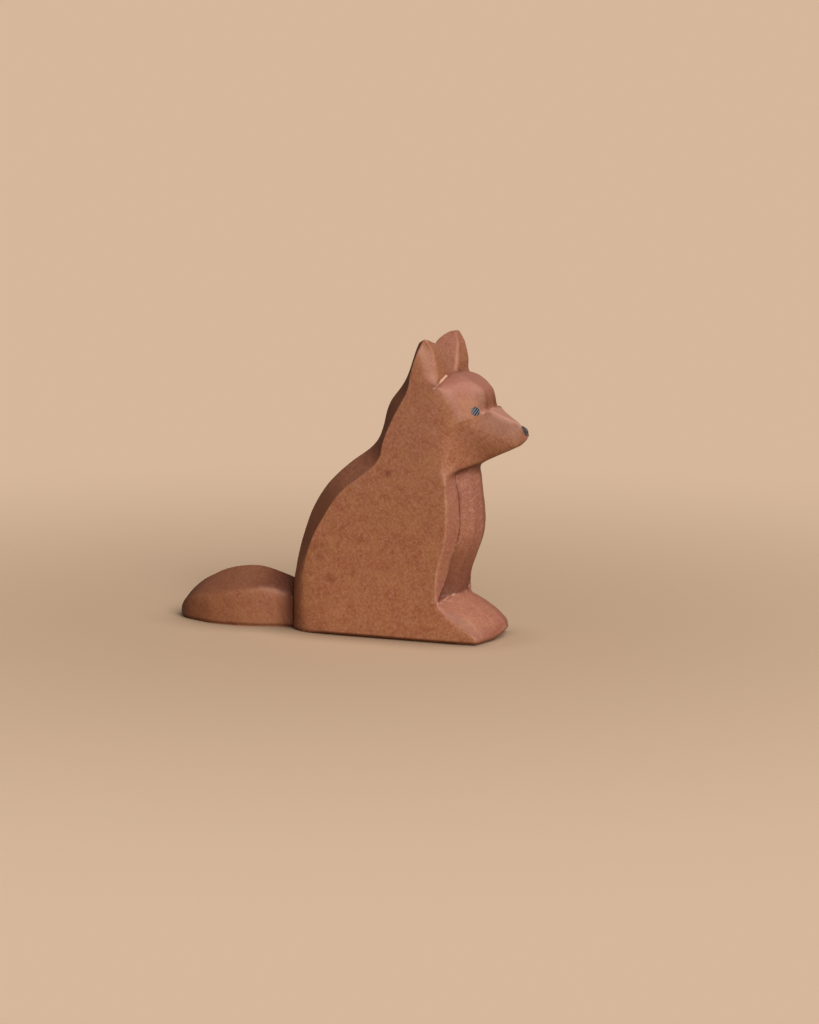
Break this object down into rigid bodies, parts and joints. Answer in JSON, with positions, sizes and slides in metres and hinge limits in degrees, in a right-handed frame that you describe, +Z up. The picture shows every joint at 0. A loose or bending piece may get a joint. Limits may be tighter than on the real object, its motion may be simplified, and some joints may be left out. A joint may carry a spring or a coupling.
{
  "type": "carved wooden fox figurine",
  "caption": "Sitting fox figurine carved from a plank of stained wood, with upright ears, a pointed snout, painted eyes and nose, and a separate leaf-shaped tail butted against its rump.",
  "frame": {"origin": "on the resting face, under the middle of the whole length, tail included", "axes": "+X from the tail to the nose, +Y to the fox's left plank face, +Z up"},
  "size_m": [0.1051, 0.025, 0.083],
  "materials": {
    "body_wood": "reddish-brown stained wood, satin",
    "tail_wood": "reddish-brown stained wood, satin",
    "peg_wood": "bare turned wood",
    "eye_paint": "thin dark blue-grey paint",
    "nose_paint": "thin dark grey paint"
  },
  "bodies": {
    "root": {"body": "body_wood", "tail": "tail_wood", "tail_peg": "peg_wood", "left_eye": "eye_paint", "right_eye": "eye_paint", "nose_tip": "nose_paint"}
  },
  "joints": []
}
